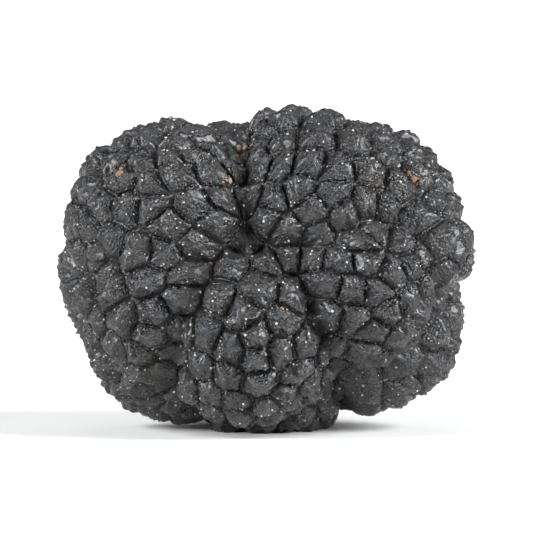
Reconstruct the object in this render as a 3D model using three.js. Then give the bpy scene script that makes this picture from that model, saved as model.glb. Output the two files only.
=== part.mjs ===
// A whole black summer truffle, one solid, resting on a small flat spot.
//
// The body is a few round lobes grown together, with furrows where they meet at a sharp turn. Its
// skin is a pavement of pyramid-shaped warts: each wart is a polygon of five or six sides that
// rises from narrow cracks to a blunt peak.
//
// Millimetres, +Z up. The origin is on the surface that the truffle rests on, under the middle
// of its box. +X is its longest way and -Y its front.

import * as THREE from "three";
import { mergeVertices } from "three/addons/utils/BufferGeometryUtils.js";

// ---- Driving dimensions, in millimetres ----

const WIDTH = 31.5; // along X, across the lobes and without their warts
const REST_DEPTH = 12.4; // from the middle of the body down to the flat spot
const SEAM_SOFTNESS = 0.7; // how far two lobes round into each other where they meet
const FURROW_DEPTH = 0.6; // how much deeper the skin lies where two lobes meet at a sharp turn
const FURROW_WIDTH = 1.0; // how far from the seam that furrow dies away
const WART_SPACING = 2.0; // the usual distance from one peak to the next
const WART_RISE = 0.31; // height of a wart, as a share of its own width
const CRACK_DEPTH = 0.28; // how far the cracks lie below the body's own surface
const SHORTEST_SIDE = 0.42; // two corners of a wart that are closer than this become one

// ---- Shape rules, as shares ----

const SPACING_RANGE = [0.74, 1.3]; // smallest and largest wart, against the usual spacing
const RISE_RANGE = [0.78, 1.22]; // lowest and highest wart, against the usual rise
const FLANK_AT = 0.22; // where the steep foot of a wart turns into its slope, from crack to peak
const FLANK_RISE = [0.5, 0.62]; // how high that turn lies
const SHOULDER_AT = 0.68; // where the slope turns into the blunt top
const SHOULDER_RISE = [0.88, 1.03]; // how high that turn lies: above 1, the top is a little hollow
const FURROW_TURN = 0.6; // a furrow is full where the lobes' ways out differ by this, 0 to 2
const NEIGHBOURS = 26; // nearest warts that can bound a wart
const TRIES = 9000; // places tried for a wart before the skin counts as full
const SEED = 41;

// The lobes, as shares of half the width: where each one's middle is, and its radius.
const LOBES = [
  { name: "heart", at: [0.0, 0.04, -0.08], radius: 0.6 },
  { name: "left mass", at: [-0.46, -0.12, 0.23], radius: 0.52 },
  { name: "left shoulder", at: [-0.6, 0.04, 0.0], radius: 0.41 },
  { name: "left front", at: [-0.52, -0.36, -0.12], radius: 0.37 },
  { name: "left flank", at: [-0.44, 0.04, -0.26], radius: 0.46 },
  { name: "right mass", at: [0.25, -0.14, 0.3], radius: 0.49 },
  { name: "right crown", at: [0.49, 0.02, 0.27], radius: 0.46 },
  { name: "saddle", at: [-0.12, 0.14, 0.27], radius: 0.46 },
  { name: "crown knob", at: [0.09, -0.1, 0.6], radius: 0.22 },
  { name: "right knob", at: [0.77, -0.2, 0.14], radius: 0.24 },
  { name: "right front", at: [0.44, -0.4, -0.04], radius: 0.38 },
  { name: "right flank", at: [0.52, 0.02, -0.22], radius: 0.45 },
  { name: "front belly", at: [-0.08, -0.44, -0.27], radius: 0.43 },
  { name: "back", at: [0.22, 0.43, -0.02], radius: 0.46 },
  { name: "back left", at: [-0.36, 0.37, 0.12], radius: 0.43 },
  { name: "back low", at: [-0.06, 0.42, -0.28], radius: 0.42 },
  { name: "base", at: [0.0, -0.01, -0.38], radius: 0.46 },
];

const random = () => THREE.MathUtils.seededRandom();
const randomBetween = ([low, high]) => low + (high - low) * random();

// ---- The body: how far its surface lies from its middle, in any direction ----

const lobes = LOBES.map(({ at, radius }) => ({
  middle: new THREE.Vector3(...at).multiplyScalar(WIDTH / 2),
  radius: (radius * WIDTH) / 2,
}));

// Below zero inside the lobes, above zero outside, and rounded where lobes meet.
function outsideBy(point) {
  const near = lobes.map(({ middle, radius }) =>
    Math.exp((radius - point.distanceTo(middle)) / SEAM_SOFTNESS));
  return -SEAM_SOFTNESS * Math.log(near.reduce((sum, one) => sum + one, 0));
}

function bodyRadius(direction) {
  const point = new THREE.Vector3();
  let inside = 0;
  let outside = WIDTH;
  for (let step = 0; step < 40; step++) {
    const middle = (inside + outside) / 2;
    const isInside = outsideBy(point.copy(direction).multiplyScalar(middle)) < 0;
    if (isInside) inside = middle;
    else outside = middle;
  }
  return (inside + outside) / 2;
}

const onBody = (direction) => direction.clone().multiplyScalar(bodyRadius(direction));

// How deep in a furrow between two lobes a point of the body lies, from 0 to 1.
function furrow(point) {
  const ways = lobes.map(({ middle, radius }) => {
    const way = point.clone().sub(middle);
    return { outside: way.length() - radius, out: way.normalize() };
  });
  const nearest = ways.reduce((best, way) => (way.outside < best.outside ? way : best));
  return Math.max(...ways.map(({ outside, out }) => {
    const gap = (outside - nearest.outside) / FURROW_WIDTH;
    const turn = (1 - out.dot(nearest.out)) / FURROW_TURN;
    return Math.exp(-gap * gap) * Math.min(turn, 1);
  }));
}

// ---- Where the warts are: each keeps its distance from the ones before it ----

function randomDirection() {
  const height = 2 * random() - 1;
  const turn = 2 * Math.PI * random();
  const level = Math.sqrt(1 - height * height);
  return new THREE.Vector3(level * Math.cos(turn), level * Math.sin(turn), height);
}

function placeWarts() {
  const warts = [];
  for (let n = 0; n < TRIES; n++) {
    const direction = randomDirection();
    const reach = (randomBetween(SPACING_RANGE) * WART_SPACING) / 2;
    const peak = onBody(direction);
    if (warts.every((other) => peak.distanceTo(other.peak) > reach + other.reach)) {
      warts.push({ direction, peak, reach });
    }
  }
  return warts;
}

// ---- The outline of each wart: the directions that are nearer to it than to any other ----

// Keeps the part of a polygon of directions that lies on the far side of a plane's normal.
function cutOutline(outline, normal) {
  const kept = [];
  outline.forEach((corner, i) => {
    const next = outline[(i + 1) % outline.length];
    const here = corner.dot(normal);
    const there = next.dot(normal);
    if (here <= 0) kept.push(corner);
    if (here * there < 0) kept.push(corner.clone().lerp(next, here / (here - there)).normalize());
  });
  return kept;
}

function outlineOf(wart, warts) {
  const up = wart.direction;
  const side = new THREE.Vector3(0, 0, 1).cross(up).normalize();
  const along = up.clone().cross(side);
  let outline = [[1, 1], [-1, 1], [-1, -1], [1, -1]].map(([a, b]) =>
    up.clone().addScaledVector(side, a).addScaledVector(along, b).normalize());
  const near = warts
    .filter((other) => other !== wart)
    .sort((a, b) => a.direction.distanceTo(up) - b.direction.distanceTo(up))
    .slice(0, NEIGHBOURS);
  for (const other of near) outline = cutOutline(outline, other.direction.clone().sub(up));
  return outline;
}

// Corners that nearly touch become one corner, shared by all the warts round it.
function shareCorners(warts) {
  const corners = [];
  for (const wart of warts) {
    const own = wart.outline.map((direction) => {
      const place = onBody(direction);
      let corner = corners.find((c) => c.place.distanceTo(place) < SHORTEST_SIDE);
      if (!corner) corners.push((corner = { place, sum: new THREE.Vector3() }));
      corner.sum.add(direction);
      return corner;
    });
    wart.corners = own.filter((corner, i) => corner !== own[(i + 1) % own.length]);
  }
  for (const corner of corners) corner.direction = corner.sum.normalize();
}

// ---- The skin: rings of points from the cracks up to each peak ----

// A point at a height above the body, lower in a furrow, and never below the surface that the
// truffle rests on.
function skinPoint(direction, height) {
  const point = onBody(direction);
  point.setLength(point.length() + height - FURROW_DEPTH * furrow(point));
  if (point.z < -REST_DEPTH) point.multiplyScalar(-REST_DEPTH / point.z);
  return point;
}

function wartTriangles(wart) {
  const { corners } = wart;
  const middle = corners.reduce((sum, c) => sum.add(c.direction), new THREE.Vector3()).normalize();
  const places = corners.map((c) => onBody(c.direction));
  const width = (2 * places.reduce((sum, p) => sum + p.distanceTo(onBody(middle)), 0)) / places.length;
  const rise = width * WART_RISE * randomBetween(RISE_RANGE);
  const flankRise = randomBetween(FLANK_RISE) * rise;
  const shoulderRise = randomBetween(SHOULDER_RISE) * rise;

  const ring = (share, height) => corners.map((c) =>
    skinPoint(c.direction.clone().lerp(middle, share).normalize(), height - CRACK_DEPTH));
  const crack = ring(0, 0);
  const flank = ring(FLANK_AT, flankRise);
  const shoulder = ring(SHOULDER_AT, shoulderRise);
  const peak = skinPoint(middle, rise - CRACK_DEPTH);

  return corners.flatMap((_, i) => {
    const j = (i + 1) % corners.length;
    return [
      crack[i], crack[j], flank[j],
      crack[i], flank[j], flank[i],
      flank[i], flank[j], shoulder[j],
      flank[i], shoulder[j], shoulder[i],
      shoulder[i], shoulder[j], peak,
    ];
  });
}

// ---- The truffle ----

function truffleGeometry() {
  THREE.MathUtils.seededRandom(SEED); // starts the row of numbers that random() goes on with
  const warts = placeWarts();
  for (const wart of warts) wart.outline = outlineOf(wart, warts);
  shareCorners(warts);
  const skin = new THREE.BufferGeometry().setFromPoints(warts.flatMap(wartTriangles));
  skin.computeBoundingBox();
  const middle = skin.boundingBox.getCenter(new THREE.Vector3());
  skin.translate(-middle.x, -middle.y, REST_DEPTH);
  const merged = mergeVertices(skin, 1e-4);
  merged.computeVertexNormals();
  return merged;
}

const skinMaterial = new THREE.MeshStandardMaterial({
  name: "truffle_skin",
  color: new THREE.Color(0x282829),
  roughness: 0.5,
  metalness: 0,
  flatShading: true,
});

const truffle = new THREE.Mesh(truffleGeometry(), skinMaterial);
truffle.name = "truffle";

const group = new THREE.Group();
group.add(truffle);

export default group;
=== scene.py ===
# %% [markdown]
# # A whole black summer truffle
#
# A black summer truffle is one lump of fungus. Round lobes have grown together, and a tough black
# skin of pyramid-shaped warts covers them all. Narrow cracks part the warts, and each wart is a
# polygon of five or six sides with a blunt peak.
#
# The CAD solid already has the lobes and the warts, with flat facets. This script grows the same
# warts again on a finer net of points, and adds what is too small for a solid: wandering cracks,
# crests, grain, growth lines, a moist sheen, and the crumbs and grit that cling to the skin.

import math

import bmesh
import bpy
import numpy as np
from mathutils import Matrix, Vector
from mathutils.kdtree import KDTree


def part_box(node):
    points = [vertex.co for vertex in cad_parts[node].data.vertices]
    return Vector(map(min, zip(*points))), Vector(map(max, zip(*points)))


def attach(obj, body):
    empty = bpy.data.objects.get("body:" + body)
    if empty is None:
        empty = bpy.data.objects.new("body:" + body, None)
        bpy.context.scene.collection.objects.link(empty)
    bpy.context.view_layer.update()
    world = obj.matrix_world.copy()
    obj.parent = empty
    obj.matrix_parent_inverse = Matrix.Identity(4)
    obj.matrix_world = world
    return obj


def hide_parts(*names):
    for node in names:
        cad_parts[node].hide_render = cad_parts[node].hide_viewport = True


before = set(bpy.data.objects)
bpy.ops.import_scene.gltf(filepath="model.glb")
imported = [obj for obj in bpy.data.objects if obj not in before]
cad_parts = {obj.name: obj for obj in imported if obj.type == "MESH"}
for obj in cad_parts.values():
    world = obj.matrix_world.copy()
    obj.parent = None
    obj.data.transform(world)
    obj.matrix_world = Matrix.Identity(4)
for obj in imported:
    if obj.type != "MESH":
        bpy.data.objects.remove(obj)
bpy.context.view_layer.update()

# %% [markdown]
# ## The body
#
# The lobes could be sculpted by hand, or blended as metaballs. Here each lobe is a sphere, and a
# smooth sum of their distances rounds the seams between them. The surface is then found along any
# ray from the middle by halving, which is exact, quick, and the same rule that shaped the solid.
# Where two lobes meet at a sharp turn, the skin sinks into a furrow.

# %% The lobes, in metres: each one's middle and radius are shares of half the width
MM = 0.001
WIDTH = 31.5 * MM
REST_DEPTH = 12.4 * MM
SEAM_SOFTNESS = 0.7 * MM
HALVINGS = 40

LOBES = {
    "heart": ((0.0, 0.04, -0.08), 0.6),
    "left mass": ((-0.46, -0.12, 0.23), 0.52),
    "left shoulder": ((-0.6, 0.04, 0.0), 0.41),
    "left front": ((-0.52, -0.36, -0.12), 0.37),
    "left flank": ((-0.44, 0.04, -0.26), 0.46),
    "right mass": ((0.25, -0.14, 0.3), 0.49),
    "right crown": ((0.49, 0.02, 0.27), 0.46),
    "saddle": ((-0.12, 0.14, 0.27), 0.46),
    "crown knob": ((0.09, -0.1, 0.6), 0.22),
    "right knob": ((0.77, -0.2, 0.14), 0.24),
    "right front": ((0.44, -0.4, -0.04), 0.38),
    "right flank": ((0.52, 0.02, -0.22), 0.45),
    "front belly": ((-0.08, -0.44, -0.27), 0.43),
    "back": ((0.22, 0.43, -0.02), 0.46),
    "back left": ((-0.36, 0.37, 0.12), 0.43),
    "back low": ((-0.06, 0.42, -0.28), 0.42),
    "base": ((0.0, -0.01, -0.38), 0.46),
}
lobe_middles = np.array([middle for middle, _ in LOBES.values()]) * WIDTH / 2
lobe_radii = np.array([radius for _, radius in LOBES.values()]) * WIDTH / 2


def unit(vectors):
    """The same vectors, each one long."""
    vectors = np.asarray(vectors, float)
    return vectors / np.linalg.norm(vectors, axis=-1, keepdims=True)


def body_radius(directions):
    """How far the body's surface lies from its middle, for each direction."""
    inside = np.zeros(len(directions))
    outside = np.full(len(directions), WIDTH)
    for _ in range(HALVINGS):
        middle = (inside + outside) / 2
        points = directions * middle[:, None]
        total = np.zeros(len(directions))
        for lobe, radius in zip(lobe_middles, lobe_radii):
            total += np.exp((radius - np.linalg.norm(points - lobe, axis=1)) / SEAM_SOFTNESS)
        within = total > 1
        inside = np.where(within, middle, inside)
        outside = np.where(within, outside, middle)
    return (inside + outside) / 2


def on_body(directions):
    """The points of the body's surface in the given directions."""
    return directions * body_radius(directions)[:, None]


# %% The furrows between the lobes
FURROW_DEPTH = 0.6 * MM
FURROW_WIDTH = 1.0 * MM
FURROW_TURN = 0.6  # a furrow is full where the lobes' ways out differ by this, 0 to 2


def furrow(points):
    """How deep in a furrow between two lobes each point of the body lies, from 0 to 1."""
    from_lobes = points[:, None] - lobe_middles
    outside_by = np.linalg.norm(from_lobes, axis=2) - lobe_radii
    ways_out = unit(from_lobes)
    nearest = (np.arange(len(points)), outside_by.argmin(axis=1))
    gap = (outside_by - outside_by[nearest][:, None]) / FURROW_WIDTH
    turn = (1 - (ways_out * ways_out[nearest][:, None]).sum(axis=2)) / FURROW_TURN
    return (np.exp(-gap * gap) * np.minimum(turn, 1)).max(axis=1)


print("lobes:", len(LOBES))

# %% [markdown]
# ## Where the warts are
#
# Points thrown at random would clump, and a grid would look knitted. So each wart is thrown in turn
# and kept only if it stands clear of the ones before it. Every wart has its own reach, which gives
# the mix of large and small warts. The row of random numbers is a plain hash of a counter, so it is
# the same in any language, and the warts land where the solid has them.

# %% Throw the warts
WART_SPACING = 2.0 * MM
SPACING_RANGE = (0.74, 1.3)
TRIES = 9000
SEED = 41
COUNTER_STEP = 0x6D2B79F5


def random_row(first, count):
    """Numbers from 0 to 1, from the given place in the row on."""
    counter = np.arange(first + 1, first + count + 1, dtype=np.uint64)
    t = (SEED + counter * COUNTER_STEP).astype(np.uint32)
    t = (t ^ (t >> 15)) * (t | 1)
    t ^= t + (t ^ (t >> 7)) * (t | 61)
    return (t ^ (t >> 14)) / 2.0**32


throws = random_row(1, 3 * TRIES).reshape(-1, 3)
heights = 2 * throws[:, 0] - 1
turns = 2 * math.pi * throws[:, 1]
levels = np.sqrt(1 - heights * heights)
thrown = np.stack([levels * np.cos(turns), levels * np.sin(turns), heights], axis=1)
reaches = (SPACING_RANGE[0] + (SPACING_RANGE[1] - SPACING_RANGE[0]) * throws[:, 2]) * WART_SPACING / 2
places = on_body(thrown)

kept = []
for n in range(TRIES):
    gaps = np.linalg.norm(places[kept] - places[n], axis=1) - reaches[kept]
    if not kept or gaps.min() > reaches[n]:
        kept.append(n)
wart_ways = thrown[kept]
print("warts:", len(kept))

# %% [markdown]
# ## The outline of each wart
#
# A wart takes the patch of skin that is nearer to it than to any other wart. A Voronoi texture would
# draw such patches, but it gives no corners to hang a net of points on. So each patch starts as a
# large square round its wart, and each neighbour cuts away its half. Corners that nearly touch then
# become one, so that no wart has a sliver for a side and neighbours share their corners exactly.

# %% Cut the outlines and share their corners
NEIGHBOURS = 26
SHORTEST_SIDE = 0.42 * MM
FAR_AWAY = (1.0, 1.0, 1.0)  # stands in for the corners while there are none


def cut_outline(outline, normal):
    """What is left of a polygon of directions on the far side of a plane's normal."""
    left = []
    for corner, following in zip(outline, outline[1:] + outline[:1]):
        here, there = corner @ normal, following @ normal
        if here <= 0:
            left.append(corner)
        if here * there < 0:
            left.append(unit(corner + (following - corner) * (here / (here - there))))
    return left


def outline_of(way):
    """The corners of the patch round one wart, as directions."""
    side = unit(np.cross((0, 0, 1), way))
    along = np.cross(way, side)
    outline = [unit(way + a * side + b * along) for a, b in ((1, 1), (-1, 1), (-1, -1), (1, -1))]
    nearest = np.argsort(np.linalg.norm(wart_ways - way, axis=1), kind="stable")[1 : NEIGHBOURS + 1]
    for other in wart_ways[nearest]:
        outline = cut_outline(outline, other - way)
    return outline


outlines = [outline_of(way) for way in wart_ways]
corner_places, corner_sums, wart_corners = [], [], []
for outline in outlines:
    own = []
    for way, place in zip(outline, on_body(np.array(outline))):
        near = np.linalg.norm(np.array(corner_places or [FAR_AWAY]) - place, axis=1) < SHORTEST_SIDE
        if near.any():
            corner = int(near.argmax())
        else:
            corner = len(corner_places)
            corner_places.append(place)
            corner_sums.append(np.zeros(3))
        corner_sums[corner] = corner_sums[corner] + way
        own.append(corner)
    wart_corners.append([c for c, following in zip(own, own[1:] + own[:1]) if c != following])
corner_ways = unit(corner_sums)
sides = sum(len(corners) for corners in wart_corners)
print("corners:", len(corner_ways), "sides:", sides)

# %% The height of each wart
WART_RISE = 0.31
RISE_RANGE = (0.78, 1.22)
FLANK_RISE = (0.5, 0.62)
SHOULDER_RISE = (0.88, 1.03)
FLANK_AT = 0.22
SHOULDER_AT = 0.68
CRACK_DEPTH = 0.28 * MM

dice = random_row(1 + 3 * TRIES, 3 * len(kept)).reshape(-1, 3)
middle_ways = unit([corner_ways[corners].sum(axis=0) for corners in wart_corners])
middle_places = on_body(middle_ways)
corner_places = on_body(corner_ways)
wart_widths = np.array([
    2 * np.linalg.norm(corner_places[corners] - middle, axis=1).mean()
    for corners, middle in zip(wart_corners, middle_places)
])


def between(limits, share):
    """The value that lies a share of the way from the first limit to the second."""
    return limits[0] + (limits[1] - limits[0]) * share


wart_rises = wart_widths * WART_RISE * between(RISE_RANGE, dice[:, 0])
flank_rises = between(FLANK_RISE, dice[:, 1]) * wart_rises
shoulder_rises = between(SHOULDER_RISE, dice[:, 2]) * wart_rises
print("wart width, mm:", (wart_widths.min() / MM).round(2), "to", (wart_widths.max() / MM).round(2))

# %% [markdown]
# ## Is it the same truffle?
#
# The rule above is a second telling of the one that made the solid, so it is checked. The solid's
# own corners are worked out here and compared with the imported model's, point by point. That also
# gives the shift from the middle of the body to the part's origin.

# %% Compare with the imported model


def skin_points(ways, heights):
    """Points at a height above the body, lower in a furrow, and never below the flat spot."""
    points = on_body(ways)
    points += ways * (heights - FURROW_DEPTH * furrow(points))[:, None]
    low = points[:, 2] < -REST_DEPTH
    points[low] *= (-REST_DEPTH / points[low, 2])[:, None]
    return points


rings = [
    (0.0, np.zeros(len(kept))),
    (FLANK_AT, flank_rises),
    (SHOULDER_AT, shoulder_rises),
    (1.0, wart_rises),
]
ring_ways, ring_heights = [], []
for wart, corners in enumerate(wart_corners):
    for share, rise in rings:
        ring_ways.extend(corner_ways[corners] * (1 - share) + middle_ways[wart] * share)
        ring_heights.extend([rise[wart] - CRACK_DEPTH] * len(corners))
solid_points = skin_points(unit(ring_ways), np.array(ring_heights))
box_middle = (solid_points.min(axis=0) + solid_points.max(axis=0)) / 2
to_origin = np.array([-box_middle[0], -box_middle[1], REST_DEPTH])

cad_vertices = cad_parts["truffle"].data.vertices
cad_tree = KDTree(len(cad_vertices))
for n, vertex in enumerate(cad_vertices):
    cad_tree.insert(vertex.co, n)
cad_tree.balance()
SAME_WITHIN = 0.02 * MM
furthest = max(cad_tree.find(point)[2] for point in solid_points + to_origin)
print("furthest corner from the solid's own, mm:", round(furthest / MM, 5))
if furthest > SAME_WITHIN:
    raise ValueError("the rule here no longer matches the packed solid")

# %% [markdown]
# ## The fine skin
#
# The warts could be sculpted or displaced by a texture, but a texture knows nothing of where one wart
# ends. Here a net of small triangles is laid on the smooth body, and each point remembers where it
# is on its own wart: how far it is from the crack to the peak, how high its wart stands, and how
# near the crest is that runs up from each corner. Geometry Nodes then raise the warts from that
# memory, so each size is one named input that can be turned up or down.

# %% Lay the net, one fan of small triangles for each side of each wart
ROWS = 9
ROW_BIAS = 1.15  # above 1, the rows crowd towards the crack, where the shape turns fastest

side_wart = np.repeat(np.arange(len(kept)), [len(corners) for corners in wart_corners])
side_from = np.concatenate(wart_corners)
side_to = np.concatenate([np.roll(corners, -1) for corners in wart_corners])

grid = [(row, step) for row in range(ROWS + 1) for step in range(ROWS - row + 1)]
grid_place = {place: n for n, place in enumerate(grid)}
grid_share = np.array([(row / ROWS) ** ROW_BIAS for row, _ in grid])
grid_along = np.array([step / max(ROWS - row, 1) for row, step in grid])
grid_faces = []
for row, step in grid:
    here, right, above, beyond = (row, step), (row, step + 1), (row + 1, step), (row + 1, step + 1)
    if row + step < ROWS:
        grid_faces.append([grid_place[corner] for corner in (here, right, above)])
    if row + step < ROWS - 1:
        grid_faces.append([grid_place[corner] for corner in (right, beyond, above)])

share = grid_share[None, :, None]
along = grid_along[None, :, None]
on_crack = corner_ways[side_from][:, None] * (1 - along) + corner_ways[side_to][:, None] * along
net_ways = unit(on_crack * (1 - share) + middle_ways[side_wart][:, None] * share).reshape(-1, 3)
rounded_ways = np.round(net_ways, 7)
_, first, same = np.unique(rounded_ways, axis=0, return_index=True, return_inverse=True)
same = same.reshape(-1)
starts = np.arange(sides)[:, None, None] * len(grid)
net_faces = same[(starts + np.array(grid_faces)[None]).reshape(-1, 3)]
net_ways = net_ways[first]
print("net points:", len(net_ways), "triangles:", len(net_faces))

# %% What each point remembers
side_length = np.linalg.norm(corner_places[side_to] - corner_places[side_from], axis=1)
crest_gap = np.minimum(grid_along, 1 - grid_along) * (1 - grid_share) * side_length[:, None]
point_share = np.broadcast_to(grid_share, crest_gap.shape).reshape(-1)[first]
point_wart = np.repeat(side_wart, len(grid))[first]
point_values = {
    "share": point_share,
    "rise": wart_rises[point_wart],
    "foot_rise": flank_rises[point_wart],
    "shoulder_rise": shoulder_rises[point_wart],
    "crest_gap": crest_gap.reshape(-1)[first],
    "wart_width": wart_widths[point_wart],
    "furrow": furrow(on_body(net_ways)),
}

face_wart = np.repeat(side_wart, len(grid_faces))
loop_wart = np.repeat(face_wart, 3)
loop_ways = net_ways[net_faces.reshape(-1)]
wart_sideways = unit(np.cross((0, 0, 1), middle_ways))
wart_lengthways = np.cross(middle_ways, wart_sideways)
loop_spokes = np.stack([
    (loop_ways * wart_sideways[loop_wart]).sum(axis=1),
    (loop_ways * wart_lengthways[loop_wart]).sum(axis=1),
], axis=1)
loop_spokes /= np.maximum(np.linalg.norm(loop_spokes, axis=1, keepdims=True), 1e-9)
loop_tints = random_row(1 + 3 * TRIES + 3 * len(kept), len(kept))[loop_wart]
SPOKE_APART = 40  # so that no two warts have the same creases
loop_spokes = np.column_stack([loop_spokes, SPOKE_APART * loop_tints])

# %% Make the net a mesh with its memory as attributes
net_mesh = bpy.data.meshes.new("truffle_skin")
net_mesh.from_pydata(on_body(net_ways), [], net_faces.tolist())
for name, values in point_values.items():
    net_mesh.attributes.new(name, "FLOAT", "POINT").data.foreach_set("value", values.astype(np.float32))
tints = net_mesh.attributes.new("wart_tint", "FLOAT", "CORNER")
tints.data.foreach_set("value", loop_tints.astype(np.float32))
spokes = net_mesh.attributes.new("spoke", "FLOAT_VECTOR", "CORNER")
spokes.data.foreach_set("vector", loop_spokes.astype(np.float32).reshape(-1))
skin = bpy.data.objects.new("truffle_skin", net_mesh)
bpy.context.scene.collection.objects.link(skin)
print("attributes:", [one.name for one in net_mesh.attributes])

# %% [markdown]
# ## Helpers for node trees
#
# Geometry trees and shader trees are built the same way: a node is added, its options are set, and
# its inputs are fed by plain values or by other nodes. Four small helpers keep the recipes short.

# %% Small helpers that add nodes


def add(tree, kind, feeds=None, **options):
    """A new node, with its options set and its inputs fed by values or by other nodes' sockets."""
    node = tree.nodes.new(kind)
    for option, value in options.items():
        setattr(node, option, value)
    for socket, value in (feeds or {}).items():
        if isinstance(value, bpy.types.NodeSocket):
            tree.links.new(value, node.inputs[socket])
        else:
            node.inputs[socket].default_value = value
    return node


def calc(tree, operation, *values):
    """The result of a sum on numbers."""
    return add(tree, "ShaderNodeMath", dict(enumerate(values)), operation=operation).outputs[0]


def vector_calc(tree, operation, *values):
    """The result of a sum on vectors."""
    feeds = dict(enumerate(values))
    if operation == "SCALE":
        feeds = {"Vector": values[0], "Scale": values[1]}
    node = add(tree, "ShaderNodeVectorMath", feeds, operation=operation)
    return node.outputs["Value" if operation in ("LENGTH", "DOT_PRODUCT") else "Vector"]


def fade(tree, value, start, end, low=0.0, high=1.0, curve="SMOOTHSTEP"):
    """low before start, high after end, and a smooth or straight change between them."""
    feeds = {"Value": value, "From Min": start, "From Max": end, "To Min": low, "To Max": high}
    node = add(tree, "ShaderNodeMapRange", feeds, interpolation_type=curve)
    return node.outputs["Result"]


def group_tree(name, kind, inputs, outputs):
    """An empty node group with its named inputs and outputs, and the nodes that hold them."""
    tree = bpy.data.node_groups.new(name, kind)
    for label, socket_kind, value in inputs:
        socket = tree.interface.new_socket(label, in_out="INPUT", socket_type="NodeSocket" + socket_kind)
        if value is not None:
            socket.default_value = value
    for label, socket_kind in outputs:
        tree.interface.new_socket(label, in_out="OUTPUT", socket_type="NodeSocket" + socket_kind)
    return tree, tree.nodes.new("NodeGroupInput").outputs, tree.nodes.new("NodeGroupOutput").inputs


def bake_tree(piece, tree, values):
    """Runs a geometry tree on a piece, and keeps the result as the piece's own plain mesh."""
    modifier = piece.modifiers.new(tree.name, "NODES")
    modifier.node_group = tree
    for socket in tree.interface.items_tree:
        if socket.in_out == "INPUT" and socket.name in values:
            modifier[socket.identifier] = values[socket.name]
    shaped = piece.evaluated_get(bpy.context.evaluated_depsgraph_get())
    plain = bpy.data.meshes.new_from_object(shaped)
    piece.modifiers.remove(modifier)
    piece.data = plain
    plain.name = piece.name


# %% [markdown]
# ## Raise the warts
#
# On the real skin each wart has a steep foot beside the crack, a slope, and a blunt top that has
# often sunk in. A crest runs from the top to each corner, the sides between crests are a little
# hollow, and creases run down them. The tree adds these one by one, and all of them fade out in the
# cracks, so that neighbours still meet.

# %% The tree that raises the warts
raise_warts, given, made = group_tree(
    "raise warts",
    "GeometryNodeTree",
    [
        ("Net", "Geometry", None),
        ("Crack Depth", "Float", CRACK_DEPTH),
        ("Foot At", "Float", FLANK_AT),
        ("Shoulder At", "Float", SHOULDER_AT),
        ("Wander", "Float", 0.13 * MM),
        ("Wander Size", "Float", 1.5 * MM),
        ("Crest Height", "Float", 0.1 * MM),
        ("Crest Width", "Float", 0.17 * MM),
        ("Crest Bend", "Float", 0.25 * MM),
        ("Crest Bend Size", "Float", 0.7 * MM),
        ("Side Hollow", "Float", 0.1 * MM),
        ("Crease Depth", "Float", 0.12 * MM),
        ("Crease Spacing", "Float", 0.8),
        ("Crease Width", "Float", 0.07),
        ("Top Hollow", "Float", 0.2 * MM),
        ("Top Hollow Radius", "Float", 0.5 * MM),
        ("Dent Depth", "Float", 0.16 * MM),
        ("Dent Size", "Float", 0.95 * MM),
        ("Papilla Height", "Float", 0.15 * MM),
        ("Papilla Size", "Float", 0.42 * MM),
        ("Grain Height", "Float", 0.13 * MM),
        ("Grain Size", "Float", 0.36 * MM),
        ("Furrow Depth", "Float", FURROW_DEPTH),
        ("Seed", "Float", 3.0),
        ("Rest Depth", "Float", REST_DEPTH),
        ("Shift", "Vector", (0.0, 0.0, 0.0)),
        ("Skin", "Material", None),
    ],
    [("Skin", "Geometry")],
)


def remembered(tree, name, kind="FLOAT"):
    """A value that the net's points carry."""
    node = add(tree, "GeometryNodeInputNamedAttribute", {"Name": name}, data_type=kind)
    return next(output for output in node.outputs if output.enabled)


def noise_at(tree, place, size, seed, detail=1.0, output="Fac"):
    """Soft noise with lumps of about the given size, from 0 to 1 with a middle of 0.5."""
    feeds = {
        "Vector": place,
        "W": seed,
        "Scale": calc(tree, "DIVIDE", 1.0, size),
        "Detail": detail,
        "Roughness": 0.55,
    }
    return add(tree, "ShaderNodeTexNoise", feeds, noise_dimensions="4D").outputs[output]


tree = raise_warts
place = add(tree, "GeometryNodeInputPosition").outputs[0]
body_normal = add(tree, "GeometryNodeInputNormal").outputs[0]
share_here = remembered(tree, "share")
rise_here = remembered(tree, "rise")
foot_here = remembered(tree, "foot_rise")
shoulder_here = remembered(tree, "shoulder_rise")
spoke_here = remembered(tree, "spoke", "FLOAT_VECTOR")
seed = given["Seed"]

# %% Wander: the cracks no longer run straight
WANDER_GAIN = 2.6  # soft noise keeps within about 0.4 of its middle, and this brings that to 1

noise_way = vector_calc(
    tree, "SUBTRACT", noise_at(tree, place, given["Wander Size"], seed, output="Color"), (0.5, 0.5, 0.5)
)
push = vector_calc(tree, "SCALE", noise_way, calc(tree, "MULTIPLY", given["Wander"], WANDER_GAIN))
outward = vector_calc(tree, "SCALE", body_normal, vector_calc(tree, "DOT_PRODUCT", push, body_normal))
wandered = vector_calc(tree, "ADD", place, vector_calc(tree, "SUBTRACT", push, outward))

# %% The wart's own profile: foot, slope and top
OUT_OF_CRACK = (0.06, 0.34)  # both are shares of the way from the crack to the peak
OFF_THE_TOP = (0.78, 0.97)

foot = calc(tree, "MULTIPLY", foot_here, fade(tree, share_here, 0.0, given["Foot At"]))
slope = calc(
    tree,
    "MULTIPLY",
    calc(tree, "SUBTRACT", shoulder_here, foot_here),
    fade(tree, share_here, given["Foot At"], given["Shoulder At"], curve="LINEAR"),
)
top = calc(
    tree,
    "MULTIPLY",
    calc(tree, "SUBTRACT", rise_here, shoulder_here),
    fade(tree, share_here, given["Shoulder At"], 1.0, curve="LINEAR"),
)
out_of_crack = fade(tree, share_here, *OUT_OF_CRACK)
off_the_top = fade(tree, share_here, *OFF_THE_TOP, 1.0, 0.0)

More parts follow.
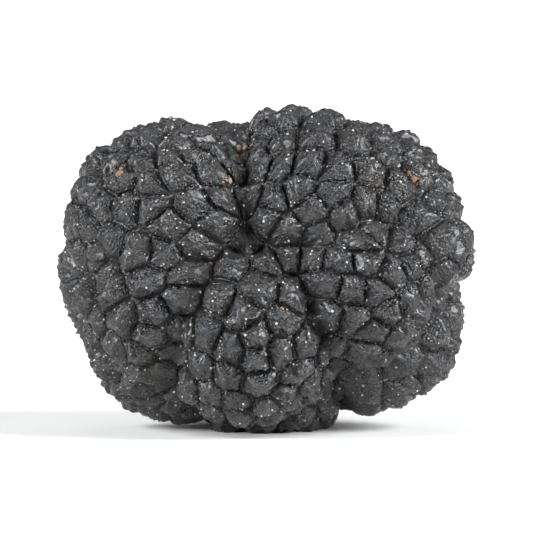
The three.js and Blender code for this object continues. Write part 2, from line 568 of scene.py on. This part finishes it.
# %% Crests, hollow sides and creases
HOLLOW_REACH = (0.1 * MM, 0.6 * MM)  # how far from a crest the hollow beside it starts and is full

crest_noise = noise_at(tree, place, given["Crest Bend Size"], seed)
crest_bend = calc(tree, "MULTIPLY", calc(tree, "SUBTRACT", crest_noise, 0.5), given["Crest Bend"])
crest_far = calc(tree, "ABSOLUTE", calc(tree, "ADD", remembered(tree, "crest_gap"), crest_bend))
crest_near = calc(tree, "DIVIDE", crest_far, given["Crest Width"])
crest_near_squared = calc(tree, "MULTIPLY", crest_near, crest_near)
crest_bell = calc(tree, "EXPONENT", calc(tree, "MULTIPLY", crest_near_squared, -1.0))
on_slope = calc(tree, "MULTIPLY", out_of_crack, off_the_top)
crest = calc(tree, "MULTIPLY", crest_bell, on_slope)
between_crests = fade(tree, crest_far, *HOLLOW_REACH)
crease_noise = noise_at(tree, spoke_here, given["Crease Spacing"], seed, detail=0.0)
crease_line = calc(tree, "ABSOLUTE", calc(tree, "SUBTRACT", crease_noise, 0.5))
in_crease = fade(tree, crease_line, 0.0, given["Crease Width"], 1.0, 0.0)
crease = calc(tree, "MULTIPLY", in_crease, on_slope)

# %% Sunken tops
SUNK_TINTS = (0.25, 0.9)  # warts below the first tint stay full, and those above the second sink fully
BOWL_FLOOR = 0.1 * MM

half_width = calc(tree, "DIVIDE", remembered(tree, "wart_width"), 2.0)
from_peak = calc(tree, "MULTIPLY", calc(tree, "SUBTRACT", 1.0, share_here), half_width)
sunk_share = fade(tree, remembered(tree, "wart_tint"), *SUNK_TINTS)
top_bowl = fade(tree, from_peak, BOWL_FLOOR, given["Top Hollow Radius"], 1.0, 0.0)
sunk = calc(tree, "MULTIPLY", top_bowl, sunk_share)

# %% Dents, grain and papillae
dent = calc(tree, "SUBTRACT", noise_at(tree, place, given["Dent Size"], seed, detail=2.0), 0.5)
grain = calc(tree, "SUBTRACT", noise_at(tree, place, given["Grain Size"], seed, detail=2.0), 0.5)
papilla_cells = add(
    tree,
    "ShaderNodeTexVoronoi",
    {"Vector": wandered, "Scale": calc(tree, "DIVIDE", 1.0, given["Papilla Size"])},
    feature="F1",
)
papilla_dome = fade(tree, papilla_cells.outputs["Distance"], 0.1, 0.75, 1.0, 0.0)
papilla = calc(tree, "MULTIPLY", papilla_dome, out_of_crack)

# %% Add them up, and keep the flat spot flat
LEAST_DROP = 0.1 * MM  # so that nothing is divided by zero

height = calc(tree, "ADD", calc(tree, "ADD", foot, slope), top)
height = calc(tree, "SUBTRACT", height, given["Crack Depth"])
for part, size in (
    (crest, given["Crest Height"]),
    (calc(tree, "MULTIPLY", calc(tree, "MULTIPLY", between_crests, on_slope), -1.0), given["Side Hollow"]),
    (calc(tree, "MULTIPLY", crease, -1.0), given["Crease Depth"]),
    (calc(tree, "MULTIPLY", sunk, -1.0), given["Top Hollow"]),
    (calc(tree, "MULTIPLY", dent, out_of_crack), given["Dent Depth"]),
    (papilla, given["Papilla Height"]),
    (grain, given["Grain Height"]),
    (calc(tree, "MULTIPLY", remembered(tree, "furrow"), -1.0), given["Furrow Depth"]),
):
    height = calc(tree, "ADD", height, calc(tree, "MULTIPLY", part, size))
reach = calc(tree, "ADD", vector_calc(tree, "LENGTH", wandered), height)
raised = vector_calc(tree, "SCALE", vector_calc(tree, "NORMALIZE", wandered), reach)
raised_split = add(tree, "ShaderNodeSeparateXYZ", {0: raised}).outputs
drop = calc(tree, "MAXIMUM", calc(tree, "MULTIPLY", raised_split["Z"], -1.0), LEAST_DROP)
pulled_in = calc(tree, "MINIMUM", calc(tree, "DIVIDE", given["Rest Depth"], drop), 1.0)
settled = vector_calc(tree, "ADD", vector_calc(tree, "SCALE", raised, pulled_in), given["Shift"])

mesh = given["Net"]
for name, value in (("crest", crest), ("crease", crease)):
    mesh = add(
        tree,
        "GeometryNodeStoreNamedAttribute",
        {"Geometry": mesh, "Name": name, "Value": value},
        data_type="FLOAT",
        domain="POINT",
    ).outputs["Geometry"]
mesh = add(tree, "GeometryNodeSetPosition", {"Geometry": mesh, "Position": settled}).outputs[0]
mesh = add(tree, "GeometryNodeSetShadeSmooth", {"Geometry": mesh, "Shade Smooth": True}).outputs[0]
mesh = add(tree, "GeometryNodeRealizeInstances", {"Geometry": mesh}).outputs[0]
mesh = add(tree, "GeometryNodeSetMaterial", {"Geometry": mesh, "Material": given["Skin"]}).outputs[0]
tree.links.new(mesh, made["Skin"])
print("nodes that raise the warts:", len(tree.nodes))

# %% [markdown]
# ## Colours and the shared grain
#
# Up close the skin is a crust of tiny granules, and so are the crumbs that break off a truffle. Both
# finishes use one node group for that grain, built once and placed in each material with its own
# size. It gives a height for the bump and a mask for the pits.

# %% Colours, as seen on a screen, turned into the linear values that shaders use


def linear(value):
    """One channel of a screen colour, 0 to 255, as a share of light."""
    return ((value / 255 + 0.055) / 1.055) ** 2.4 if value > 10 else value / 255 / 12.92


def colour(red, green, blue):
    """A screen colour as a shader takes it."""
    return (linear(red), linear(green), linear(blue), 1.0)


BLACK_SKIN = colour(21, 22, 25)
BROWN_SKIN = colour(36, 34, 33)
# Painted shade: the near black that the skin's colour turns to down in its cracks, creases, pits and
# furrows
PAINTED_SHADE_COLOUR = colour(14, 12, 11)
WORN_CREST = colour(70, 70, 72)

# %% The shared group: a crust of granules
granules, given, made = group_tree(
    "granules",
    "ShaderNodeTree",
    [
        ("Place", "Vector", None),
        ("Granule Size", "Float", 0.2 * MM),
        ("Raggedness", "Float", 0.6),
    ],
    [("Height", "Float"), ("Pits", "Float")],
)
tree = granules
per_granule = calc(tree, "DIVIDE", 1.0, given["Granule Size"])
ragged_feeds = {"Vector": given["Place"], "Scale": per_granule, "Detail": 3.0, "Roughness": 0.6}
ragged = add(tree, "ShaderNodeTexNoise", ragged_feeds)
ragged_way = vector_calc(tree, "SUBTRACT", ragged.outputs["Color"], (0.5, 0.5, 0.5))
ragged_by = calc(tree, "MULTIPLY", given["Raggedness"], given["Granule Size"])
ragged_place = vector_calc(tree, "ADD", given["Place"], vector_calc(tree, "SCALE", ragged_way, ragged_by))
cells = add(tree, "ShaderNodeTexVoronoi", {"Vector": ragged_place, "Scale": per_granule}, feature="F1")
dome = fade(tree, cells.outputs["Distance"], 0.1, 0.75, 1.0, 0.0)
fuzz = calc(tree, "SUBTRACT", ragged.outputs["Fac"], 0.5)
tree.links.new(calc(tree, "ADD", dome, calc(tree, "MULTIPLY", fuzz, 0.8)), made["Height"])
tree.links.new(fade(tree, cells.outputs["Distance"], 0.5, 0.85), made["Pits"])
print("nodes in the granules group:", len(tree.nodes))

# %% [markdown]
# ## The skin's finish
#
# The skin is nearly black, a little browner on some warts than on others, and rubbed paler on the
# crests. Shade is painted into its colour as well: it turns near black down in the cracks, creases,
# pits and furrows, where shade falls. Growth lines run round each wart, one above the other, and fine
# grooves run down it. One pattern for the whole skin would run straight across the cracks, so both are
# drawn from what the net remembers, and they turn with each wart. The skin is moist: a thin clear coat
# shines in patches over a duller crust.

# %% Small helpers for materials
MIX_SHARE, MIX_FIRST, MIX_SECOND, MIX_RESULT = 0, 6, 7, 2  # where a Mix node has its colour sockets


def blend_colours(tree, share, first, second):
    """The first colour where share is 0, and the second where it is 1."""
    feeds = {MIX_SHARE: share, MIX_FIRST: first, MIX_SECOND: second}
    return add(tree, "ShaderNodeMix", feeds, data_type="RGBA").outputs[MIX_RESULT]


def new_material(name, **constants):
    """A material with one Principled shader, whose constants are set on its own sockets."""
    material = bpy.data.materials.new(name)
    material.use_nodes = True
    shader = material.node_tree.nodes["Principled BSDF"]
    for socket, value in constants.items():
        shader.inputs[socket.replace("_", " ")].default_value = value
    return material, material.node_tree, shader.inputs


def attribute(tree, name, output="Fac"):
    """A value that the mesh carries."""
    return add(tree, "ShaderNodeAttribute", attribute_name=name).outputs[output]


def noise(tree, place, size, detail=2.0):
    """Soft noise with lumps of about the given size, from 0 to 1."""
    feeds = {"Vector": place, "Scale": 1 / size, "Detail": detail, "Roughness": 0.6}
    return add(tree, "ShaderNodeTexNoise", feeds).outputs["Fac"]


def place_granules(tree, place, size, raggedness):
    """The shared group, placed in a material with its own values."""
    feeds = {"Place": place, "Granule Size": size, "Raggedness": raggedness}
    return add(tree, "ShaderNodeGroup", feeds, node_tree=granules).outputs


def bump_shader(tree, shader, relief):
    """Bends the shader's normal by a height in millimetres."""
    bump = add(tree, "ShaderNodeBump", {"Height": relief, "Strength": 1.0, "Distance": MM})
    tree.links.new(bump.outputs[0], shader["Normal"])


# %% The skin's material: values that the net remembers
skin_material, tree, skin_shader = new_material("truffle_skin", Coat_Roughness=0.12, IOR=1.5)
place = add(tree, "ShaderNodeTexCoord").outputs["Object"]
share = attribute(tree, "share")
crest = attribute(tree, "crest")
crease = attribute(tree, "crease")
in_furrow = attribute(tree, "furrow")
wart_tint = attribute(tree, "wart_tint")
spoke = attribute(tree, "spoke", "Vector")
on_wart = fade(tree, share, 0.05, 0.3)

# %% Growth lines and grooves, as heights in millimetres
GROWTH_LINES = 11
GROWTH_LINE_HEIGHT = 0.012
GROWTH_LINE_WOBBLE = 2.2
GROOVE_HEIGHT = 0.03
GROOVE_CLOSENESS = 3.4
GRANULE_HEIGHT = 0.09
GRANULE_SIZE = 0.25 * MM
WOBBLE_SIZE = 0.5 * MM

wobble = calc(tree, "MULTIPLY", noise(tree, place, WOBBLE_SIZE), GROWTH_LINE_WOBBLE)
line_place = calc(tree, "ADD", calc(tree, "MULTIPLY", share, float(GROWTH_LINES)), wobble)
line_wave = calc(tree, "SINE", calc(tree, "MULTIPLY", line_place, 2 * math.pi))
growth = calc(tree, "MULTIPLY", calc(tree, "MULTIPLY", line_wave, on_wart), GROWTH_LINE_HEIGHT)
groove_place = vector_calc(tree, "SCALE", spoke, GROOVE_CLOSENESS)
groove_wave = calc(tree, "SUBTRACT", noise(tree, groove_place, 1.0, detail=3.0), 0.5)
grooves = calc(tree, "MULTIPLY", calc(tree, "MULTIPLY", groove_wave, on_wart), GROOVE_HEIGHT * 2)
crust = place_granules(tree, place, GRANULE_SIZE, 0.7)
crust_height = calc(tree, "MULTIPLY", crust["Height"], GRANULE_HEIGHT)
bump_shader(tree, skin_shader, calc(tree, "ADD", calc(tree, "ADD", growth, grooves), crust_height))

# %% The skin's colour, from the body outwards
WEAR = 0.7
# How strongly painted shade darkens the creases, the pits between granules and the furrows
CREASE_SHADE = 0.8
PIT_SHADE = 0.5
FURROW_SHADE = 0.85
BROWN_PATCH = 4 * MM
WORN_PATCH = 1.3 * MM

patches = fade(tree, noise(tree, place, BROWN_PATCH), 0.35, 0.68)
brownness = calc(tree, "MULTIPLY", calc(tree, "ADD", patches, wart_tint), 0.5)
skin_colour = blend_colours(tree, brownness, BLACK_SKIN, BROWN_SKIN)
worn_patches = fade(tree, noise(tree, place, WORN_PATCH), 0.42, 0.66)
worn = calc(tree, "MULTIPLY", fade(tree, crest, 0.35, 0.95), worn_patches)
skin_colour = blend_colours(tree, calc(tree, "MULTIPLY", worn, WEAR), skin_colour, WORN_CREST)
# Painted shade: the colour darkens to near black down in the cracks, creases, pits and furrows, where
# shade falls
crack_shade = fade(tree, share, 0.02, 0.2, 1.0, 0.0)
low = calc(tree, "MAXIMUM", crack_shade, calc(tree, "MULTIPLY", crease, CREASE_SHADE))
low = calc(tree, "MAXIMUM", low, calc(tree, "MULTIPLY", crust["Pits"], PIT_SHADE))
low = calc(tree, "MAXIMUM", low, fade(tree, in_furrow, 0.2, 0.8, 0.0, FURROW_SHADE))
skin_colour = blend_colours(tree, low, skin_colour, PAINTED_SHADE_COLOUR)
tree.links.new(skin_colour, skin_shader["Base Color"])

# %% The skin's gloss: a moist film over a duller crust
FILM = (0.03, 0.38)  # the clear coat where the skin is driest and wettest
ROUGHNESS = (0.13, 0.47)  # of the crust where it is smoothest and dullest
FURROW_ROUGHNESS = 0.3  # added in the furrows
WET_PATCH = 1.8 * MM
DULL_PATCH = 0.9 * MM

film = fade(tree, noise(tree, place, WET_PATCH), 0.33, 0.63, *FILM)
tree.links.new(film, skin_shader["Coat Weight"])
dull = fade(tree, noise(tree, place, DULL_PATCH), 0.38, 0.64, *ROUGHNESS)
dull = calc(tree, "ADD", dull, fade(tree, in_furrow, 0.2, 0.8, 0.0, FURROW_ROUGHNESS))
tree.links.new(dull, skin_shader["Roughness"])
print("nodes in the skin's material:", len(tree.nodes))

# %% Raise the warts on the net
bake_tree(skin, raise_warts, {"Shift": to_origin, "Skin": skin_material})
print("skin triangles:", len(skin.data.polygons), "materials:", [m.name for m in skin.data.materials])
skin_box = np.array([vertex.co for vertex in skin.data.vertices])
print("skin box, mm:", (skin_box.min(axis=0) / MM).round(2), (skin_box.max(axis=0) / MM).round(2))

# %% Hand the skin to the frame
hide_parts("truffle")
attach(skin, "root")

# %% [markdown]
# ## Crumbs and grit
#
# A truffle out of its brine carries crumbs of its own pale flesh, most of them caught in the cracks,
# and fine grit all over. Each could be placed by hand. Here only the clusters that catch the eye
# are placed one by one. The rest is thrown at the skin's own small triangles, where a larger triangle
# is hit more often, so that nothing hangs in the air. One tree then sets a lump on every point, presses
# it into the skin and roughens it, so that no two are alike.

# %% The skin's small triangles, as targets
skin_spots = np.zeros((len(skin.data.vertices), 3))
skin.data.vertices.foreach_get("co", skin_spots.ravel())
skin_faces = np.zeros((len(skin.data.polygons), 3), np.int32)
skin.data.polygons.foreach_get("vertices", skin_faces.ravel())
skin_shares = np.zeros(len(skin_spots), np.float32)
skin.data.attributes["share"].data.foreach_get("value", skin_shares)
first_corner, second_corner, third_corner = (skin_spots[skin_faces[:, n]] for n in range(3))
face_slants = np.cross(second_corner - first_corner, third_corner - first_corner)
face_areas = np.linalg.norm(face_slants, axis=1)
face_ways = face_slants / np.maximum(face_areas, 1e-15)[:, None]
face_shares = skin_shares[skin_faces].mean(axis=1)
CLEAR_OF_FLOOR = 1.0 * MM
CRACK_SHARE = 0.3  # how far up a wart its crack reaches
off_the_floor = first_corner[:, 2] > CLEAR_OF_FLOOR
in_the_cracks = off_the_floor & (face_shares < CRACK_SHARE)
print("targets:", len(skin_faces), "skin area, mm2:", round(face_areas.sum() / 2 / MM ** 2))

# %% Throw crumbs and grit at them
chance = np.random.default_rng(7)


def throw(count, wanted):
    """Random places on the wanted faces, and the way out of the skin at each."""
    weights = face_areas * wanted
    hit = chance.choice(len(weights), count, p=weights / weights.sum())
    along, across = chance.random((2, count))
    folded = along + across > 1
    along, across = np.where(folded, 1 - along, along), np.where(folded, 1 - across, across)
    places = first_corner[hit]
    places = places + along[:, None] * (second_corner - first_corner)[hit]
    places = places + across[:, None] * (third_corner - first_corner)[hit]
    return places, face_ways[hit]


CRUMB_COUNT = 46
CRUMB_RADII = (0.09 * MM, 0.24 * MM)
CRUMB_POWER = 2  # the powers are for random shares: above 1, most of the lumps are small
GRIT_COUNT = 4000
GRIT_RADII = (0.05 * MM, 0.14 * MM)
GRIT_POWER = 1.6
# Most grit is made pale, so its specks are real grit and also stand in for wet glints as painted
# highlights
PALE_GLINT_POWER = 0.33  # below 1, most of the grit is pale

crumb_places, crumb_ways = (list(rows) for rows in throw(CRUMB_COUNT, in_the_cracks))
crumb_radii = list(between(CRUMB_RADII, chance.random(CRUMB_COUNT) ** CRUMB_POWER))
crumb_tints = list(chance.random(CRUMB_COUNT))
grit_places, grit_ways = throw(GRIT_COUNT, off_the_floor)
grit_radii = between(GRIT_RADII, chance.random(GRIT_COUNT) ** GRIT_POWER)

# %% Clusters of crumbs, each one crumb with smaller ones stuck round it
CLUSTERS = (  # how far right and how high, seen from the front, and the radius of the largest crumb
    (-11.7 * MM, 21.0 * MM, 0.36 * MM),
    (-2.9 * MM, 20.4 * MM, 0.3 * MM),
    (11.7 * MM, 20.4 * MM, 0.4 * MM),
    (-2.1 * MM, 22.8 * MM, 0.32 * MM),
)
CLUSTER_COUNT = 5
CLUSTER_SPREAD = 0.6 * MM
CLUSTER_TINTS = (0.42, 0.72)
STARTS_AT = -1.0  # the rays that find the skin start a metre in front of it
BACKWARDS = Vector((0, 1, 0))

for right, high, largest in CLUSTERS:
    for member in range(1 + CLUSTER_COUNT):
        aside, above = chance.uniform(-CLUSTER_SPREAD, CLUSTER_SPREAD, 2) if member else (0, 0)
        in_front = Vector((right + aside, STARTS_AT, high + above))
        hit, spot, way, _ = skin.ray_cast(in_front, BACKWARDS)
        if not hit:
            continue  # it would fall past the skin
        crumb_places.append(spot)
        crumb_ways.append(way)
        crumb_radii.append(chance.uniform(*CRUMB_RADII) if member else largest)
        crumb_tints.append(chance.uniform(*CLUSTER_TINTS))

# %% Loose points, one for each lump, that remember its size, its way out and its tint


def loose_points(name, places, ways, radii, tints):
    """A piece of single points, one for each lump."""
    mesh = bpy.data.meshes.new(name)
    mesh.from_pydata(places, [], [])
    mesh.attributes.new("way", "FLOAT_VECTOR", "POINT").data.foreach_set("vector", np.ravel(ways))
    mesh.attributes.new("radius", "FLOAT", "POINT").data.foreach_set("value", radii)
    mesh.attributes.new("crumb_tint", "FLOAT", "POINT").data.foreach_set("value", tints)
    piece = bpy.data.objects.new(name, mesh)
    bpy.context.scene.collection.objects.link(piece)
    return piece


crumbs = loose_points("crumbs", crumb_places, crumb_ways, crumb_radii, crumb_tints)
# Mostly pale tints: real grit, and painted highlights that stand in for wet glints
grit_tints = chance.random(GRIT_COUNT) ** PALE_GLINT_POWER
grit = loose_points("grit", grit_places, grit_ways, grit_radii, grit_tints)
print("crumbs:", len(crumb_places), "grains of grit:", GRIT_COUNT)

# %% The tree that sets a lump on each point
set_crumbs, given, made = group_tree(
    "set crumbs",
    "GeometryNodeTree",
    [
        ("Points", "Geometry", None),
        ("Flatness", "Float", 0.65),
        ("Sunk", "Float", 0.3),
        ("Roughness", "Float", 1.1),
        ("Lump Size", "Float", 0.2 * MM),
        ("Detail", "Int", 3),
        ("Smooth", "Bool", True),
        ("Seed", "Int", 5),
        ("Crumb", "Material", None),
    ],
    [("Crumbs", "Geometry")],
)
tree = set_crumbs
radius = remembered(tree, "radius")
way = remembered(tree, "way", "FLOAT_VECTOR")

# %% One plain lump for each point, turned at random about the way out of the skin
lump_feeds = {"Radius": 1.0, "Subdivisions": given["Detail"]}
lump = add(tree, "GeometryNodeMeshIcoSphere", lump_feeds).outputs["Mesh"]
stand_up = add(tree, "FunctionNodeAlignRotationToVector", {"Vector": way}, axis="Z").outputs[0]
turn = add(
    tree,
    "FunctionNodeRandomValue",
    {"Min": (0.0, 0.0, 0.0), "Max": (0.0, 0.0, 2 * math.pi), "Seed": given["Seed"]},
    data_type="FLOAT_VECTOR",
).outputs[0]
turned = add(
    tree, "FunctionNodeRotateRotation", {"Rotation": stand_up, "Rotate By": turn}, rotation_space="LOCAL"
).outputs[0]
flat = add(tree, "ShaderNodeCombineXYZ", {"X": 1.0, "Y": 0.78, "Z": given["Flatness"]}).outputs[0]
size = vector_calc(tree, "SCALE", flat, radius)
points = add(tree, "GeometryNodeMeshToPoints", {"Mesh": given["Points"], "Radius": radius}).outputs[0]
sunk_by = calc(tree, "MULTIPLY", calc(tree, "MULTIPLY", radius, given["Sunk"]), -1.0)
set_in = vector_calc(tree, "SCALE", way, sunk_by)
points = add(tree, "GeometryNodeSetPosition", {"Geometry": points, "Offset": set_in}).outputs[0]
lump_feeds = {"Points": points, "Instance": lump, "Rotation": turned, "Scale": size}
lumps = add(tree, "GeometryNodeInstanceOnPoints", lump_feeds).outputs[0]
lumps = add(tree, "GeometryNodeRealizeInstances", {"Geometry": lumps}).outputs[0]

# %% Roughen each lump, by a share of its own radius
LUMP_SEED = 2.0

place = add(tree, "GeometryNodeInputPosition").outputs[0]
lump_normal = add(tree, "GeometryNodeInputNormal").outputs[0]
rough = calc(tree, "SUBTRACT", noise_at(tree, place, given["Lump Size"], LUMP_SEED, detail=2.0), 0.5)
across = calc(tree, "MULTIPLY", radius, 2.0)
rough = calc(tree, "MULTIPLY", calc(tree, "MULTIPLY", rough, given["Roughness"]), across)
rough_way = vector_calc(tree, "SCALE", lump_normal, rough)
lumps = add(tree, "GeometryNodeSetPosition", {"Geometry": lumps, "Offset": rough_way}).outputs[0]
smooth_feeds = {"Geometry": lumps, "Shade Smooth": given["Smooth"]}
lumps = add(tree, "GeometryNodeSetShadeSmooth", smooth_feeds).outputs[0]
lumps = add(tree, "GeometryNodeRealizeInstances", {"Geometry": lumps}).outputs[0]
lumps = add(tree, "GeometryNodeSetMaterial", {"Geometry": lumps, "Material": given["Crumb"]}).outputs[0]
tree.links.new(lumps, made["Crumbs"])

# %% The crumbs' material: from cream flesh to rust-brown grit
PALE_CRUMB = colour(184, 174, 156)
RUST_CRUMB = colour(128, 100, 68)
DARK_CRUMB = colour(88, 68, 47)
# The palest grit colour: real grit whose white specks also stand in for wet glints as painted highlights
WHITE_GRIT_AND_GLINT = colour(218, 216, 210)
CRUMB_GRAIN_HEIGHT = 0.02
CRUMB_GRAIN_SIZE = 0.08 * MM
MOTTLE_SIZE = 0.15 * MM

crumb_material, tree, crumb_shader = new_material("crumb", Roughness=0.42, IOR=1.42)
place = add(tree, "ShaderNodeTexCoord").outputs["Object"]
crumb_tint = attribute(tree, "crumb_tint")
crumb_colour = blend_colours(tree, fade(tree, crumb_tint, 0.25, 0.5), DARK_CRUMB, RUST_CRUMB)
crumb_colour = blend_colours(tree, fade(tree, crumb_tint, 0.62, 0.8), crumb_colour, PALE_CRUMB)
crumb_colour = blend_colours(tree, fade(tree, crumb_tint, 0.86, 0.97), crumb_colour, WHITE_GRIT_AND_GLINT)
mottle = fade(tree, noise(tree, place, MOTTLE_SIZE, detail=3.0), 0.35, 0.7)
crumb_colour = blend_colours(tree, calc(tree, "MULTIPLY", mottle, 0.5), crumb_colour, DARK_CRUMB)
tree.links.new(crumb_colour, crumb_shader["Base Color"])
crumb_grain = place_granules(tree, place, CRUMB_GRAIN_SIZE, 0.5)
bump_shader(tree, crumb_shader, calc(tree, "MULTIPLY", crumb_grain["Height"], CRUMB_GRAIN_HEIGHT))

# %% Set the crumbs on the skin
bake_tree(crumbs, set_crumbs, {"Crumb": crumb_material})
bake_tree(grit, set_crumbs, {
    "Crumb": crumb_material,
    "Detail": 1,
    "Smooth": False,
    "Flatness": 0.8,
    "Sunk": 0.15,
    "Roughness": 0.6,
    "Lump Size": 0.1 * MM,
    "Seed": 11,
})
for piece in (crumbs, grit):
    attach(piece, "root")
    print("triangles in the", piece.name + ":", len(piece.data.polygons))

# %% [markdown]
# ## The studio
#
# A flat floor would end in a horizon, so a pale sweep curves up all round, and it also gives the wet
# skin something pale to mirror. Two tall soft lights stand left and right, a little in front of the
# truffle, and the space between them stays dim, so that the warts mirror bright and dark by turns.
# A weak light hangs overhead, and a wide one washes the far floor white.

# %% A pale sweep all round
SWEEP_RADIUS = 2.2
SWEEP_BEND = 0.8
SWEEP_TOP = 2.0
FLOOR_RINGS = (0.0, 0.1, 0.5)
BEND_STEPS = 16
TURN_STEPS = 96


def sweep_profile():
    """From the middle of the floor outwards and up, as (radius, height)."""
    points = [(radius, 0.0) for radius in (*FLOOR_RINGS, SWEEP_RADIUS - SWEEP_BEND)]
    for step in range(1, BEND_STEPS + 1):
        turn = math.pi / 2 * step / BEND_STEPS
        points.append((
            SWEEP_RADIUS - SWEEP_BEND + SWEEP_BEND * math.sin(turn),
            SWEEP_BEND * (1 - math.cos(turn)),
        ))
    return points + [(SWEEP_RADIUS, SWEEP_TOP)]


sweep_mesh = bmesh.new()
outline = [sweep_mesh.verts.new((radius, 0, height)) for radius, height in sweep_profile()]
edges = [sweep_mesh.edges.new(pair) for pair in zip(outline, outline[1:])]
bmesh.ops.spin(
    sweep_mesh,
    geom=outline + edges,
    axis=(0, 0, 1),
    cent=(0, 0, 0),
    angle=2 * math.pi,
    steps=TURN_STEPS,
    use_merge=True,
)
bmesh.ops.remove_doubles(sweep_mesh, verts=sweep_mesh.verts, dist=1e-5)
bmesh.ops.recalc_face_normals(sweep_mesh, faces=sweep_mesh.faces)
sweep_data = bpy.data.meshes.new("sweep")
sweep_mesh.to_mesh(sweep_data)
sweep_mesh.free()
for face in sweep_data.polygons:
    face.use_smooth = True
sweep = bpy.data.objects.new("sweep", sweep_data)
bpy.context.scene.collection.objects.link(sweep)

PAPER = colour(236, 234, 231)
sweep_material, _, sweep_shader = new_material("pale_paper", Base_Color=PAPER, Roughness=0.8)
sweep_data.materials.append(sweep_material)
print("sweep faces:", len(sweep_data.polygons))

# %% Soft lights


def soft_light(name, place, target, width, height, power, spread=180, tint=(1.0, 1.0, 1.0)):
    """A rectangular soft light that faces a point, and that the camera does not see."""
    data = bpy.data.lights.new(name, "AREA")
    data.shape = "RECTANGLE"
    data.size, data.size_y, data.energy = width, height, power
    data.color = tint
    data.spread = math.radians(spread)
    light = bpy.data.objects.new(name, data)
    light.location = place
    light.rotation_euler = (Vector(target) - Vector(place)).to_track_quat("-Z", "Y").to_euler()
    light.visible_camera = False
    bpy.context.scene.collection.objects.link(light)


LEFT_WATTS = 5.6
RIGHT_WATTS = 6.4
TOP_WATTS = 0.7
WASH_WATTS = 11.0
ROOM_LIGHT = 0.05
LEFT_PLACE = (-0.74, -0.3, 0.45)
RIGHT_PLACE = (0.74, -0.24, 0.45)
TOP_PLACE = (0.0, 0.3, 1.2)
WASH_PLACE = (0.0, 1.1, 1.2)
WASHED_FLOOR = (0.0, 1.1, 0.0)
COOL = (0.93, 0.96, 1.0)

middle_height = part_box("truffle")[1][2] / 2
aim = (0.0, 0.0, middle_height)
soft_light("left light", LEFT_PLACE, aim, 0.4, 0.65, LEFT_WATTS, spread=100, tint=COOL)
soft_light("right light", RIGHT_PLACE, aim, 0.4, 0.65, RIGHT_WATTS, spread=100, tint=COOL)
soft_light("top light", TOP_PLACE, aim, 0.9, 0.5, TOP_WATTS)
soft_light("back wash", WASH_PLACE, WASHED_FLOOR, 1.6, 0.8, WASH_WATTS, spread=80)

world = bpy.data.worlds.new("studio")
world.use_nodes = True
world.node_tree.nodes["Background"].inputs["Color"].default_value = (1.0, 1.0, 1.0, 1.0)
world.node_tree.nodes["Background"].inputs["Strength"].default_value = ROOM_LIGHT
bpy.context.scene.world = world
bpy.context.scene.view_settings.view_transform = "Standard"

# %% [markdown]
# ## The camera
#
# It looks from just above the table, almost level. A short lens close by would swell the nearest
# lobe, so the camera stands well back with a long lens, which keeps the lump's true proportions.

# %% Place the camera
CAMERA_RISE = math.radians(4)
CAMERA_DISTANCE = 0.63
FILL = 0.78  # the share of the picture's width that the truffle takes
SENSOR_WIDTH = 36  # millimetres

low_corner, high_corner = (np.array(corner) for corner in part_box("truffle"))
truffle_width = high_corner[0] - low_corner[0]
look_at = Vector((low_corner + high_corner) / 2)
camera_data = bpy.data.cameras.new("camera")
camera_data.sensor_width = SENSOR_WIDTH
camera_data.lens = SENSOR_WIDTH * CAMERA_DISTANCE / (truffle_width / FILL)
camera = bpy.data.objects.new("camera", camera_data)
camera.location = look_at + CAMERA_DISTANCE * Vector((0, -math.cos(CAMERA_RISE), math.sin(CAMERA_RISE)))
camera.rotation_euler = (look_at - camera.location).to_track_quat("-Z", "Y").to_euler()
camera_data.clip_start, camera_data.clip_end = 0.01, 20
bpy.context.scene.collection.objects.link(camera)
bpy.context.scene.camera = camera
print("lens, mm:", round(camera_data.lens, 1))
